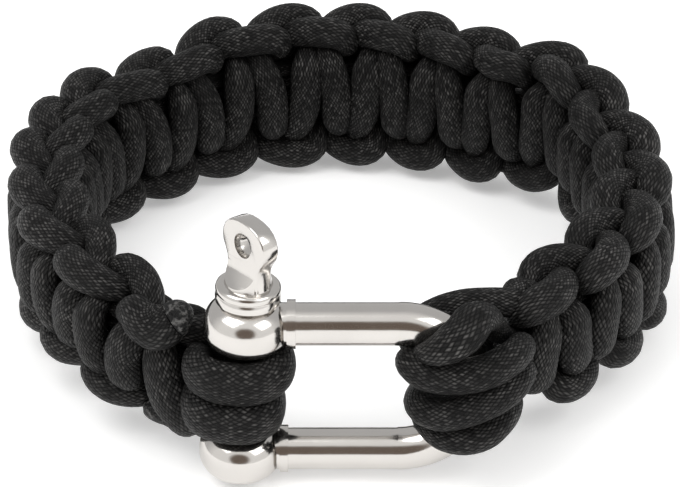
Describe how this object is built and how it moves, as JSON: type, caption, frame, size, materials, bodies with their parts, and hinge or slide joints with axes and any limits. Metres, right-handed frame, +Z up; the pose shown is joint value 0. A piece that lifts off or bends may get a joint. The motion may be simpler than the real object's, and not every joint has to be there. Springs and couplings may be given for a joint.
{
  "type": "paracord bracelet",
  "caption": "Woven paracord bracelet in black, closed with a steel D-shackle and screw pin, lying on its side.",
  "frame": {"origin": "on the surface that the bracelet lies on, under the middle of its footprint", "axes": "+Z up, along the wrist; -Y towards the shackle, which is at the front; -X towards the shackle's screw pin"},
  "size_m": [0.0785, 0.0812, 0.031],
  "materials": {
    "steel": "polished stainless steel with soft cast edges",
    "cord": "braided nylon sheath, near black with grey flecks",
    "melted_cord": "cut nylon, melted and pressed smooth"
  },
  "bodies": {
    "bracelet": {"shackle_body": "steel", "outer_strand": "cord", "inner_strand": "cord", "core_strands": "cord", "bow_loop": "cord", "pin_loops": "cord", "upper_cord_end": "melted_cord", "lower_cord_end": "melted_cord"},
    "pin": {"screw_pin": "steel"}
  },
  "joints": [
    {"name": "pin_turn", "type": "hinge", "parent": "bracelet", "child": "pin", "pos_m": [-0.0093, -0.03475, 0.01105], "axis": [0.061, 0, 0.9981], "range_deg": [0, 360]}
  ]
}
